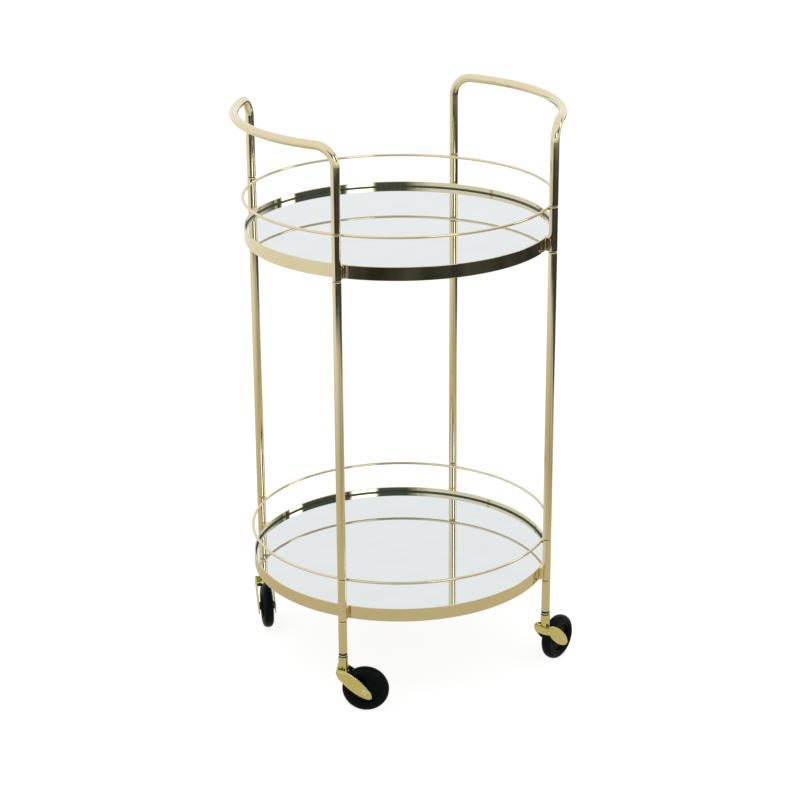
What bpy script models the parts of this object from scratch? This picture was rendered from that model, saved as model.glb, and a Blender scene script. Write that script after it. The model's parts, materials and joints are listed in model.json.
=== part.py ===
"""Round bar cart: two mirror trays in flat hoops, four screwed tube legs, two bent handles, four casters.

Metres, +Z up. The origin is on the floor below the middle of the trays. The handles are on the -X and +X
sides, and +Y is the rear. Run with: blender --background --python part.py
"""

from math import acos, cos, pi, radians, sin, sqrt

import bmesh
import bpy
from mathutils import Matrix, Vector

# Driving dimensions
FIT_GAP = 0.0003            # space left between pieces that touch
TRAY_RADIUS = 0.225         # outside of the tray bands
BAND_THICKNESS = 0.002
BAND_HEIGHT = 0.020
LOWER_BAND_Z = 0.144        # bottom edge of the lower band
TRAY_SPACING = 0.5155       # from the lower tray to the upper one
MIRROR_DEPTH = 0.0064       # from the band's top edge down to the mirror
MIRROR_THICKNESS = 0.004
FLOOR_THICKNESS = 0.0012
RAIL_RADIUS = 0.2257        # centre of the gallery wire
RAIL_WIRE_RADIUS = 0.002
RAIL_RISE = 0.0417          # from the band's top edge up to the gallery wire

LEG_CIRCLE = 0.2345         # axes of the four legs
TUBE_RADIUS = 0.00635       # half-inch tube
TUBE_WALL = 0.0012
TUBE_CHAMFER = 0.0005       # edge of each tube end, which makes the seam's groove
SEAM_ABOVE_RAIL = 0.0038
SEAM_BELOW_BAND = 0.0015
HANDLE_Z = 0.8455           # centre of the handle tube's top run
HANDLE_BEND = 0.028         # bend radius from leg to handle
LEG_END_Z = 0.0909          # bottom of the lower legs

LUG_WIDTH = 0.012
STUD_RADIUS = 0.003         # screw stud at the top of each leg tube, and the caster's stem
STUD_REACH = 0.013          # how far a stud stands up into the next tube
PLUG_LENGTH = 0.012         # plug that fixes a stud in its tube
INSERT_LENGTH = 0.016       # threaded insert in each tube's lower end

WHEEL_RADIUS = 0.0345
WHEEL_WIDTH = 0.016
TRAIL = 0.0325              # from the swivel axis back to the wheel's axle
CORE_RADIUS = 0.0245        # where the tyre sits on the core
AXLE_RADIUS = 0.003
BORE_CLEARANCE = 0.00008    # running fit of the wheel on its axle
BOSS_END_PLAY = 0.0005      # gap between the wheel's boss and a cheek
HUB_RADIUS = 0.0070
HUB_TOP_Z = 0.0854
WEB_Z = 0.0595              # underside of the fork's web
WEB_THICKNESS = 0.0025
WEB_FRONT = -0.0073         # its edges, measured along the trail from the swivel axis
WEB_BACK = 0.0062
FORK_HALF_WIDTH = 0.0143
CHEEK_THICKNESS = 0.002
LEAF_CENTRE = (0.0165, 0.0455)
LEAF_HALF_LENGTH = 0.0335
LEAF_HALF_WIDTH = 0.0103
LEAF_TILT = radians(41.0)   # the leaf runs down and back
WRAP_THICKNESS = 0.0018
AXLE_PROUD = 0.0002         # how far the axle's ends stand out of the cheeks
STEM_HEAD_RADIUS = 0.0045
STEM_HEAD_HEIGHT = 0.0013
PLUG_CLEARANCE = 0.004      # how far the stem reaches past the threaded insert
WASHER_RADIUS = 0.0064
LOWER_WASHER_HEIGHT = 0.0009
UPPER_WASHER_HEIGHT = 0.0016
BEARING_RING_RADIUS = 0.0062

TUBE_SIDES = 10
HOOP_STEPS = 48
WHEEL_STEPS = 24
RING_STEPS = 10

LEG_AZIMUTHS = {"front_left": 225.0, "front_right": 315.0, "rear_right": 45.0, "rear_left": 135.0}
TRAIL_AZIMUTHS = {"front_left": -28.8, "front_right": 27.9, "rear_right": 12.0, "rear_left": -103.8}
TRAY_BOTTOMS = {"lower": LOWER_BAND_Z, "upper": LOWER_BAND_Z + TRAY_SPACING}

# Finish of each kind of piece: colour, metallic, roughness
FINISHES = {
    "gold_tube": ((0.66, 0.55, 0.33, 1.0), 1.0, 0.16),
    "gold_band": ((0.70, 0.60, 0.38, 1.0), 1.0, 0.10),
    "gold_caster": ((0.72, 0.62, 0.26, 1.0), 1.0, 0.22),
    "mirror_glass": ((0.86, 0.89, 0.89, 1.0), 1.0, 0.02),
    "floor_steel": ((0.45, 0.40, 0.30, 1.0), 1.0, 0.35),
    "chrome": ((0.80, 0.81, 0.83, 1.0), 1.0, 0.08),
    "black_plastic": ((0.012, 0.013, 0.014, 1.0), 0.0, 0.40),
    "tyre_rubber": ((0.010, 0.012, 0.014, 1.0), 0.0, 0.32),
    "fastener_steel": ((0.55, 0.56, 0.58, 1.0), 1.0, 0.30),
}


def clear_scene():
    for item in list(bpy.data.objects):
        bpy.data.objects.remove(item, do_unlink=True)


def finish(name):
    """The named finish as a material, made on first use."""
    found = bpy.data.materials.get(name)
    if found:
        return found
    colour, metallic, roughness = FINISHES[name]
    made = bpy.data.materials.new(name)
    made.use_nodes = True
    shader = made.node_tree.nodes["Principled BSDF"]
    shader.inputs["Base Color"].default_value = colour
    shader.inputs["Metallic"].default_value = metallic
    shader.inputs["Roughness"].default_value = roughness
    return made


def solid(bm):
    """Closes a bmesh into a mesh whose faces point out."""
    bmesh.ops.remove_doubles(bm, verts=bm.verts, dist=1e-6)
    bmesh.ops.recalc_face_normals(bm, faces=bm.faces)
    mesh = bpy.data.meshes.new("solid")
    bm.to_mesh(mesh)
    bm.free()
    return mesh


def place(name, mesh, finish_name, parent=None):
    """Puts a mesh in the scene as a named piece."""
    mesh.name = name
    mesh.materials.clear()
    mesh.materials.append(finish(finish_name))
    mesh.shade_smooth()
    mesh.set_sharp_from_angle(angle=radians(40.0))
    piece = bpy.data.objects.new(name, mesh)
    piece.parent = parent
    bpy.context.collection.objects.link(piece)
    return piece


def pivot(name, location, turn_z=0.0, parent=None):
    """An empty on a joint's axis."""
    empty = bpy.data.objects.new(name, None)
    empty.location = location
    empty.rotation_euler = (0.0, 0.0, turn_z)
    empty.parent = parent
    bpy.context.collection.objects.link(empty)
    return empty


def turned(profile, steps, on_axis=False, matrix=Matrix()):
    """Turns (radius, height) corners about Z. An on_axis profile starts and ends on the axis."""
    bm = bmesh.new()
    corners = [bm.verts.new((radius, 0.0, height)) for radius, height in profile]
    pairs = list(zip(corners, corners[1:]))
    if not on_axis:
        pairs.append((corners[-1], corners[0]))
    edges = [bm.edges.new(pair) for pair in pairs]
    bmesh.ops.spin(bm, geom=corners + edges, cent=(0, 0, 0), axis=(0, 0, 1), angle=2 * pi, steps=steps,
                   use_merge=True)
    bmesh.ops.transform(bm, matrix=matrix, verts=bm.verts)
    return solid(bm)


def sleeve_profile(inner, outer, low, high):
    """Section of a ring or a straight tube."""
    return [(inner, low), (outer, low), (outer, high), (inner, high)]


def rod_profile(steps_up):
    """Section of a solid turned rod, from its (radius, height) corners."""
    return [(0.0, steps_up[0][1])] + steps_up + [(0.0, steps_up[-1][1])]


def leg_point(azimuth, radius=LEG_CIRCLE):
    return Vector((radius * cos(azimuth), radius * sin(azimuth), 0.0))


def prism(outline, low, high, matrix=Matrix()):
    """A flat outline in X and Y, extruded along Z."""
    bm = bmesh.new()
    face = bm.faces.new([bm.verts.new((x, y, low)) for x, y in outline])
    grown = bmesh.ops.extrude_face_region(bm, geom=[face])
    lifted = [item for item in grown["geom"] if isinstance(item, bmesh.types.BMVert)]
    bmesh.ops.translate(bm, verts=lifted, vec=(0.0, 0.0, high - low))
    bmesh.ops.transform(bm, matrix=matrix, verts=bm.verts)
    return solid(bm)


def combine(base, tools, operation):
    """Joins or cuts a mesh with others by an exact Boolean."""
    body = bpy.data.objects.new("body", base)
    bpy.context.collection.objects.link(body)
    helpers = []
    for index, tool_mesh in enumerate(tools):
        helper = bpy.data.objects.new(f"tool_{index}", tool_mesh)
        helper.hide_render = True
        helper.display_type = "WIRE"
        bpy.context.collection.objects.link(helper)
        helpers.append(helper)
        step = body.modifiers.new(f"step_{index}", "BOOLEAN")
        step.operation = operation
        step.solver = "EXACT"
        step.object = helper
    view = bpy.context.evaluated_depsgraph_get()
    result = bpy.data.meshes.new_from_object(body.evaluated_get(view))
    for item in [body] + helpers:
        bpy.data.objects.remove(item, do_unlink=True)
    return result


# Trays

def tray_heights(tray):
    bottom = TRAY_BOTTOMS[tray]
    top = bottom + BAND_HEIGHT
    return bottom, top, top + RAIL_RISE


def lug_outline():
    """Plan of a lug with +X outwards: rooted in the band, hollowed to fit round the post."""
    half = LUG_WIDTH / 2
    seat = TUBE_RADIUS + FIT_GAP
    swing = acos(sqrt(seat ** 2 - half ** 2) / seat)
    root = TRAY_RADIUS - BAND_THICKNESS / 2
    outline = [(root, -half)]
    arc_steps = 6
    for index in range(arc_steps + 1):
        angle = pi + swing - 2 * swing * index / arc_steps
        outline.append((LEG_CIRCLE + seat * cos(angle), seat * sin(angle)))
    outline.append((root, half))
    return outline


def make_band(tray):
    """A flat hoop on edge, with a lug welded on at each leg."""
    bottom, top, _ = tray_heights(tray)
    hoop = turned(sleeve_profile(TRAY_RADIUS - BAND_THICKNESS, TRAY_RADIUS, bottom, top), HOOP_STEPS)
    weld_room = 0.0004          # the lug stops this far short of the band's edges
    lugs = []
    for azimuth in LEG_AZIMUTHS.values():
        turn = Matrix.Rotation(radians(azimuth), 4, "Z")
        lugs.append(prism(lug_outline(), bottom + weld_room, top - weld_room, turn))
    place(f"{tray}_tray_band", combine(hoop, lugs, "UNION"), "gold_band")


def make_mirror_and_floor(tray):
    """The mirror lies on a sheet disc, and both sit inside the band."""
    _, top, _ = tray_heights(tray)
    rim = (TRAY_RADIUS - BAND_THICKNESS) * cos(pi / HOOP_STEPS)
    radius = rim - FIT_GAP
    mirror_top = top - MIRROR_DEPTH
    mirror_low = mirror_top - MIRROR_THICKNESS
    floor_top = mirror_low - FIT_GAP
    floor_low = floor_top - FLOOR_THICKNESS
    mirror = turned(rod_profile([(radius, mirror_low), (radius, mirror_top)]), HOOP_STEPS, on_axis=True)
    floor = turned(rod_profile([(radius, floor_low), (radius, floor_top)]), HOOP_STEPS, on_axis=True)
    place(f"{tray}_tray_mirror", mirror, "mirror_glass")
    place(f"{tray}_tray_floor", floor, "floor_steel")


def make_rail(tray):
    """The gallery rail is a ring of round wire."""
    _, _, height = tray_heights(tray)
    wire_sides = 6
    turns = [2 * pi * index / wire_sides for index in range(wire_sides)]
    profile = [(RAIL_RADIUS + RAIL_WIRE_RADIUS * cos(a), height + RAIL_WIRE_RADIUS * sin(a)) for a in turns]
    place(f"{tray}_gallery_rail", turned(profile, HOOP_STEPS), "gold_tube")


def make_tray(tray):
    make_band(tray)
    make_mirror_and_floor(tray)
    make_rail(tray)


# Legs and handles

def seam_heights():
    """Heights of the seams in every leg, from the bottom up."""
    seams = []
    for tray in ("lower", "upper"):
        bottom, _, rail = tray_heights(tray)
        seams += [bottom - SEAM_BELOW_BAND, rail + SEAM_ABOVE_RAIL]
    return seams


def insert_bore():
    """Inner radius of the threaded inserts, clear of a stud's thread."""
    return STUD_RADIUS + FIT_GAP


def leg_profile(length):
    """Section of a leg tube: open below with its threaded insert, closed above by a plug and its stud."""
    bore = TUBE_RADIUS - TUBE_WALL
    thread = insert_bore()
    mouth = TUBE_RADIUS - TUBE_CHAMFER
    inside = [(bore, INSERT_LENGTH), (thread, INSERT_LENGTH), (thread, 0.0)]
    shoulder = length - TUBE_CHAMFER
    outside = [(mouth, 0.0), (TUBE_RADIUS, TUBE_CHAMFER), (TUBE_RADIUS, shoulder), (mouth, length)]
    plug = [(0.0, length - PLUG_LENGTH), (bore, length - PLUG_LENGTH)]
    stud_top = length + STUD_REACH
    stud = [(STUD_RADIUS, length), (STUD_RADIUS, stud_top), (0.0, stud_top)]
    return plug + inside + outside + stud


def make_leg_tube(name, corner, low, high):
    tube = place(name, turned(leg_profile(high - low), TUBE_SIDES, on_axis=True), "gold_tube")
    tube.location = leg_point(radians(LEG_AZIMUTHS[corner])) + Vector((0.0, 0.0, low))


def make_legs():
    """Lower leg, lower post, middle leg and upper post at each corner, each screwed into the one above it."""
    levels = [LEG_END_Z] + seam_heights()
    half_gap = FIT_GAP / 2
    for corner in LEG_AZIMUTHS:
        for index, kind in enumerate(("lower_leg", "lower_post", "middle_leg", "upper_post")):
            low = levels[index] + (half_gap if index else 0.0)
            high = levels[index + 1] - half_gap
            make_leg_tube(f"{kind}_{corner}", corner, low, high)


def handle_stations():
    """Centre line of a handle above its straight ends: (way round the leg circle, height, lean)."""
    bend_low = HANDLE_Z - HANDLE_BEND
    bend_steps = 6
    leans = [(pi / 2) * index / bend_steps for index in range(bend_steps + 1)]
    bend = [(HANDLE_BEND * (1 - cos(lean)), bend_low + HANDLE_BEND * sin(lean), lean) for lean in leans]
    whole = LEG_CIRCLE * pi / 2
    run_steps = 9
    run = whole - 2 * HANDLE_BEND
    middle = [(HANDLE_BEND + run * index / run_steps, HANDLE_Z, pi / 2) for index in range(1, run_steps)]
    return bend + middle + [(whole - along, height, pi - lean) for along, height, lean in reversed(bend)]


def handle_skin(bm, start_azimuth, ends, radius):
    """Rings along a handle. The ends list gives (height, radius) up a straight end, and both are alike."""
    whole = LEG_CIRCLE * pi / 2
    sections = [(0.0, height, 0.0, size) for height, size in ends]
    sections += [station + (radius,) for station in handle_stations()]
    sections += [(whole, height, pi, size) for height, size in reversed(ends)]
    rings = []
    for along, height, lean, size in sections:
        azimuth = start_azimuth + along / LEG_CIRCLE
        outward = leg_point(azimuth, 1.0)
        onward = leg_point(azimuth + pi / 2, 1.0)
        side = cos(lean) * onward - sin(lean) * Vector((0.0, 0.0, 1.0))
        centre = leg_point(azimuth) + Vector((0.0, 0.0, height))
        angles = [2 * pi * step / TUBE_SIDES for step in range(TUBE_SIDES)]
        rings.append([bm.verts.new(centre + size * (cos(a) * outward + sin(a) * side)) for a in angles])
    return rings


def make_handle(name, start_azimuth):
    """A hollow bent tube, open at both ends, with a threaded insert in each."""
    low = seam_heights()[-1] + FIT_GAP / 2
    thread_top = low + INSERT_LENGTH
    bore = TUBE_RADIUS - TUBE_WALL
    bm = bmesh.new()
    mouth = [(low, TUBE_RADIUS - TUBE_CHAMFER), (low + TUBE_CHAMFER, TUBE_RADIUS)]
    thread = [(low, insert_bore()), (thread_top, insert_bore()), (thread_top, bore)]
    outer = handle_skin(bm, start_azimuth, mouth, TUBE_RADIUS)
    inner = handle_skin(bm, start_azimuth, thread, bore)
    loop = outer + inner[::-1]
    for first, second in zip(loop, loop[1:] + loop[:1]):
        for i in range(TUBE_SIDES):
            j = (i + 1) % TUBE_SIDES
            bm.faces.new((first[i], first[j], second[j], second[i]))
    place(name, solid(bm), "gold_tube")


# Casters

def leaf_point(angle, inset=0.0):
    """A point of the cheek's leaf outline, as (back, up). Angle 0 is the low tip and pi the high tip."""
    along = (LEAF_HALF_LENGTH - inset) * cos(angle)
    across = (LEAF_HALF_WIDTH - inset) * sin(angle)
    back = LEAF_CENTRE[0] + along * cos(LEAF_TILT) + across * sin(LEAF_TILT)
    up = LEAF_CENTRE[1] - along * sin(LEAF_TILT) + across * cos(LEAF_TILT)
    return back, up


def upright(outline, near, far):
    """An outline given as (back, up), extruded across the fork."""
    return prism([(back, -up) for back, up in outline], near, far, Matrix.Rotation(-pi / 2, 4, "X"))


def cheek(side):
    steps = 20
    outline = [leaf_point(2 * pi * index / steps) for index in range(steps)]
    edges = sorted((side * FORK_HALF_WIDTH, side * (FORK_HALF_WIDTH - CHEEK_THICKNESS)))
    return upright(outline, edges[0], edges[1])


def front_wrap():
    """A curved strip along the cheeks' front edge, from just over the high tip down and back."""
    steps = 5
    start, stop = radians(172.0), radians(235.0)
    angles = [start + (stop - start) * index / steps for index in range(steps + 1)]
    skin_inset = 0.0001
    outer = [leaf_point(angle, skin_inset) for angle in angles]
    inner = [leaf_point(angle, WRAP_THICKNESS) for angle in reversed(angles)]
    reach = FORK_HALF_WIDTH - CHEEK_THICKNESS / 2
    return upright(outer + inner, -reach, reach)


def web():
    """The flat plate that joins the hub to the cheeks and the wrap."""
    front, back = WEB_FRONT, WEB_BACK
    reach = FORK_HALF_WIDTH - CHEEK_THICKNESS / 2
    top = WEB_Z + WEB_THICKNESS
    return upright([(front, WEB_Z), (back, WEB_Z), (back, top), (front, top)], -reach, reach)


def fork_mesh():
    """Hub, web, wrap and cheeks as one pressing, bored for the stem and the axle."""
    hub_low = WEB_Z + WEB_THICKNESS / 2
    hub_sides = 12
    hub = turned(rod_profile([(HUB_RADIUS, hub_low), (HUB_RADIUS, HUB_TOP_Z)]), hub_sides, True)
    body = combine(web(), [hub, front_wrap(), cheek(1), cheek(-1)], "UNION")
    stem_bore = STUD_RADIUS + FIT_GAP
    bore_low, bore_high = WEB_Z - 0.005, HUB_TOP_Z + 0.005
    stem_hole = turned(rod_profile([(stem_bore, bore_low), (stem_bore, bore_high)]), hub_sides, True)
    reach = FORK_HALF_WIDTH + 0.005
    axle_bore = AXLE_RADIUS + FIT_GAP
    across = Matrix.Translation((TRAIL, 0.0, WHEEL_RADIUS)) @ Matrix.Rotation(pi / 2, 4, "X")
    axle_hole = turned(rod_profile([(axle_bore, -reach), (axle_bore, reach)]), hub_sides, True, across)
    return combine(body, [stem_hole, axle_hole], "DIFFERENCE")


def tyre_profile():
    """Section of the tyre: flat sides, round shoulders and a slightly crowned tread."""
    half = WHEEL_WIDTH / 2
    seat = CORE_RADIUS + FIT_GAP
    right = [(seat, half - 0.0012), (seat + 0.0022, half), (WHEEL_RADIUS - 0.0040, half - 0.0003),
             (WHEEL_RADIUS - 0.0011, half - 0.0026), (WHEEL_RADIUS, half - 0.0062)]
    left = [(radius, -height) for radius, height in reversed(right)]
    return right + left


def core_profile():
    """Section of the wheel core: long boss, thin disc and a rim that carries the tyre."""
    bore = (AXLE_RADIUS + BORE_CLEARANCE) / cos(pi / WHEEL_STEPS)
    boss_reach = FORK_HALF_WIDTH - CHEEK_THICKNESS - BOSS_END_PLAY
    boss_radius, boss_root = 0.0062, 0.0085
    disc_half, rim_half, rim_radius = 0.0028, 0.0065, 0.0205
    right = [(bore, boss_reach), (boss_radius, boss_reach), (boss_root, disc_half), (rim_radius, disc_half),
             (rim_radius + 0.0010, rim_half), (CORE_RADIUS * cos(pi / WHEEL_STEPS), rim_half)]
    left = [(radius, -height) for radius, height in reversed(right)]
    return right + left


def make_stem(corner, mount):
    """The stem screws into the leg, and its riveted head holds the web from below."""
    head_top = WEB_Z - FIT_GAP
    head_low = head_top - STEM_HEAD_HEIGHT
    stem_top = LEG_END_Z + INSERT_LENGTH + PLUG_CLEARANCE
    head = [(STEM_HEAD_RADIUS, head_low), (STEM_HEAD_RADIUS, head_top)]
    shank = [(STUD_RADIUS, head_top), (STUD_RADIUS, stem_top)]
    stem = turned(rod_profile(head + shank), RING_STEPS, on_axis=True)
    place(f"{corner}_caster_stem", stem, "fastener_steel", mount)


def make_rings(corner, mount):
    """A washer on the hub, a washer under the leg, and the bearing ring between them."""
    lower = (HUB_TOP_Z + FIT_GAP, HUB_TOP_Z + FIT_GAP + LOWER_WASHER_HEIGHT)
    upper = (LEG_END_Z - FIT_GAP - UPPER_WASHER_HEIGHT, LEG_END_Z - FIT_GAP)
    between = (lower[1] + FIT_GAP, upper[0] - FIT_GAP)
    stack = (("lower_washer", WASHER_RADIUS, lower, "black_plastic"),
             ("upper_washer", WASHER_RADIUS, upper, "black_plastic"),
             ("bearing_ring", BEARING_RING_RADIUS, between, "chrome"))
    for kind, radius, (low, high), finish_name in stack:
        ring = turned(sleeve_profile(STUD_RADIUS + FIT_GAP, radius, low, high), RING_STEPS)
        place(f"{corner}_caster_{kind}", ring, finish_name, mount)


def make_caster(corner, fork_shape, tyre_shape, core_shape):
    """A caster: its stem and rings stay with the leg, its fork swivels and its wheel rolls."""
    foot = leg_point(radians(LEG_AZIMUTHS[corner]))
    mount = pivot(f"{corner}_caster_mount", foot)
    swivel = pivot(f"{corner}_swivel_axis", (0.0, 0.0, 0.0), radians(TRAIL_AZIMUTHS[corner]), mount)
    axle_line = pivot(f"{corner}_wheel_axis", (TRAIL, 0.0, WHEEL_RADIUS), 0.0, swivel)
    make_stem(corner, mount)
    make_rings(corner, mount)
    place(f"{corner}_caster_fork", fork_shape.copy(), "gold_caster", swivel)
    axle_reach = FORK_HALF_WIDTH + AXLE_PROUD
    axle_rod = rod_profile([(AXLE_RADIUS, -axle_reach), (AXLE_RADIUS, axle_reach)])
    axle = place(f"{corner}_wheel_axle", turned(axle_rod, RING_STEPS, True), "gold_caster", axle_line)
    tyre = place(f"{corner}_wheel_tyre", tyre_shape.copy(), "tyre_rubber", axle_line)
    core = place(f"{corner}_wheel_core", core_shape.copy(), "black_plastic", axle_line)
    for piece in (axle, tyre, core):
        piece.rotation_euler = (pi / 2, 0.0, 0.0)


def make_casters():
    fork_shape = fork_mesh()
    tyre_shape = turned(tyre_profile(), WHEEL_STEPS)
    core_shape = turned(core_profile(), WHEEL_STEPS)
    for corner in LEG_AZIMUTHS:
        make_caster(corner, fork_shape, tyre_shape, core_shape)


def main():
    clear_scene()
    make_tray("lower")
    make_tray("upper")
    make_legs()
    make_handle("left_handle_tube", radians(LEG_AZIMUTHS["rear_left"]))
    make_handle("right_handle_tube", radians(LEG_AZIMUTHS["front_right"]))
    make_casters()


main()
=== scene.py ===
"""The looks of the round bar cart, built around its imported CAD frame. Metres, +Z up."""
import json
from math import atan2, cos, pi, radians, sin, sqrt

import bmesh
import bpy
from mathutils import Matrix, Vector


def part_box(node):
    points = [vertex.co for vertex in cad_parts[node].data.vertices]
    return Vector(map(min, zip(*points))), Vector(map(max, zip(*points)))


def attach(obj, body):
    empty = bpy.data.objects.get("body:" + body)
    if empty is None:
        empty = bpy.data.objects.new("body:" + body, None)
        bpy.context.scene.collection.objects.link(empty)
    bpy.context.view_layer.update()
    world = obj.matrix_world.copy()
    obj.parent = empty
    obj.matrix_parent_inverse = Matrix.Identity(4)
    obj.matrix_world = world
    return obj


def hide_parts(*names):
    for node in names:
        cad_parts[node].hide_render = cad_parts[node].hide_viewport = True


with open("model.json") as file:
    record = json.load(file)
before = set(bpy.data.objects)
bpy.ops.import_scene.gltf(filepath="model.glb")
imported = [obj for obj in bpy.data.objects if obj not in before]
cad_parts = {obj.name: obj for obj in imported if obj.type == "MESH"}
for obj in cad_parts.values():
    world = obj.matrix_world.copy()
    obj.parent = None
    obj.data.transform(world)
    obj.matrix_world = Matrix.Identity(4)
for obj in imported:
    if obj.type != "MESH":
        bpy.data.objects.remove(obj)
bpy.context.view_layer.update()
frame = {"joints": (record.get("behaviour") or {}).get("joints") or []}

# Sizes that the frame gives
TRAY_RADIUS = Vector(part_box("upper_tray_band")[1]).x
RAIL_OUTER = Vector(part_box("upper_gallery_rail")[1]).x
HANDLE_TOP = Vector(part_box("right_handle_tube")[1]).z

# Sizes of the fine surface
TUBE_RADIUS = 0.00635
TUBE_WALL = 0.0012
SEAM_ROUND = 0.0011             # rounding of each tube end
BAND_THICKNESS = 0.002
WIRE_RADIUS = 0.002
HANDLE_BEND = 0.028             # radius of the bend from leg to handle
STUD_RADIUS = 0.003             # screw stud, and the caster's stem
STUD_REACH = 0.013              # how far a screw stud stands up into the next tube
SEAM_GAP = 0.0003               # how much each tube end draws back, so that the seams show
LUG_WIDTH = 0.012
WELD_RADIUS = 0.00075           # weld between a lug and its post
RAIL_WELD_RADIUS = 0.0010
GLASS_EDGE_WIDTH = 0.0016       # the mirror's dark ground edge, which stands above its silver face
GLASS_EDGE_HEIGHT = 0.0014
FLOOR_LIP = 0.0036              # how far the tray floor's rim turns down

# Steps round each kind of piece
HOOP_STEPS = 192
TUBE_STEPS = 32
RING_STEPS = 40
WHEEL_STEPS = 96

CORNERS = ("front_left", "front_right", "rear_right", "rear_left")
TRAYS = ("lower", "upper")
JOINTS = {joint["name"]: joint for joint in frame["joints"]}
FRAME_BODY = "frame"


# Mesh tools

def mesh_object(name, bm, material, smooth_angle=35.0):
    """A bmesh as a named, smooth-shaded piece."""
    bmesh.ops.remove_doubles(bm, verts=bm.verts, dist=1e-7)
    bmesh.ops.recalc_face_normals(bm, faces=bm.faces)
    mesh = bpy.data.meshes.new(name)
    bm.to_mesh(mesh)
    bm.free()
    mesh.shade_smooth()
    mesh.set_sharp_from_angle(angle=radians(smooth_angle))
    mesh.materials.append(material)
    piece = bpy.data.objects.new(name, mesh)
    bpy.context.collection.objects.link(piece)
    shading = piece.modifiers.new("flat_faces_stay_flat", "WEIGHTED_NORMAL")
    shading.keep_sharp = True
    shading.weight = 50
    return piece


def heights(node):
    """The bottom and top of a CAD node."""
    low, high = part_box(node)
    return low[2], high[2]


def rounded(corners, radius, steps=4, closed=True):
    """A 2-D outline with each corner filleted, and radius as a number or a list of one per corner."""
    outline = []
    count = len(corners)
    for index, corner in enumerate(corners):
        size = radius[index] if isinstance(radius, (list, tuple)) else radius
        at_end = not closed and index in (0, count - 1)
        here = Vector(corner)
        before = Vector(corners[index - 1]) - here
        after = Vector(corners[(index + 1) % count]) - here
        if at_end or size <= 0.0:
            outline.append(here)
            continue
        turn = before.angle(after) / 2
        slope = abs(sin(turn) / cos(turn))
        reach = min(size / max(slope, 1e-6), 0.49 * min(before.length, after.length))
        start = here + before.normalized() * reach
        stop = here + after.normalized() * reach
        for step in range(steps + 1):
            t = step / steps
            outline.append((1 - t) ** 2 * start + 2 * t * (1 - t) * here + t ** 2 * stop)
    return [(point[0], point[1]) for point in outline]


def turned(profile, steps, closed=True, matrix=Matrix()):
    """Turns a (radius, height) outline about Z. An open outline starts and ends on the axis."""
    bm = bmesh.new()
    corners = [bm.verts.new((radius, 0.0, height)) for radius, height in profile]
    pairs = list(zip(corners, corners[1:]))
    if closed:
        pairs.append((corners[-1], corners[0]))
    edges = [bm.edges.new(pair) for pair in pairs]
    bmesh.ops.spin(bm, geom=corners + edges, cent=(0, 0, 0), axis=(0, 0, 1), angle=2 * pi, steps=steps,
                   use_merge=True)
    bmesh.ops.transform(bm, matrix=matrix, verts=bm.verts)
    return bm


def loft(rings, cap=True):
    """Skins rings of equally many points, and fills the two ends."""
    bm = bmesh.new()
    rows = [[bm.verts.new(point) for point in ring] for ring in rings]
    for first, second in zip(rows, rows[1:]):
        for i in range(len(first)):
            j = (i + 1) % len(first)
            bm.faces.new((first[i], first[j], second[j], second[i]))
    if cap:
        bm.faces.new(rows[0][::-1])
        bm.faces.new(rows[-1])
    return bm


def bevelled_prism(outline, low, high, bevel, matrix=Matrix(), steps=3):
    """A flat outline in X and Y extruded along Z, with its two rims rounded."""
    bm = bmesh.new()
    face = bm.faces.new([bm.verts.new((x, y, low)) for x, y in outline])
    grown = bmesh.ops.extrude_face_region(bm, geom=[face])
    lifted = [item for item in grown["geom"] if isinstance(item, bmesh.types.BMVert)]
    bmesh.ops.translate(bm, verts=lifted, vec=(0.0, 0.0, high - low))
    rims = [edge for edge in bm.edges if abs(edge.verts[0].co.z - edge.verts[1].co.z) < 1e-7]
    bmesh.ops.bevel(bm, geom=rims, offset=bevel, segments=steps, profile=0.5, affect="EDGES",
                    clamp_overlap=True)
    bmesh.ops.transform(bm, matrix=matrix, verts=bm.verts)
    return bm


def weld_bead(start, stop, radius):
    """A run of weld: thick in the middle, fading at both ends, with shallow ripples."""
    start, stop = Vector(start), Vector(stop)
    line = stop - start
    side = line.normalized().orthogonal()
    other = line.normalized().cross(side)
    rings = []
    steps, sides = 14, 10
    for step in range(steps + 1):
        t = step / steps
        swell = sqrt(max(1.0 - (2 * t - 1) ** 4, 0.02)) * (1.0 + 0.07 * cos(step * pi))
        centre = start + line * t
        turns = [2 * pi * index / sides for index in range(sides)]
        rings.append([centre + radius * swell * (cos(a) * side + sin(a) * other) for a in turns])
    return loft(rings)


def join(parts):
    """Several bmeshes as one."""
    whole = bmesh.new()
    for part in parts:
        held = bpy.data.meshes.new("held")
        part.to_mesh(held)
        part.free()
        whole.from_mesh(held)
        bpy.data.meshes.remove(held)
    return whole


def fit(piece, body, slot, *nodes):
    """Makes a piece ride on a body and stand for CAD nodes, which it hides. The slot is not used."""
    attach(piece, body)
    if nodes:
        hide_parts(*nodes)
    return piece


# Materials

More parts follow.
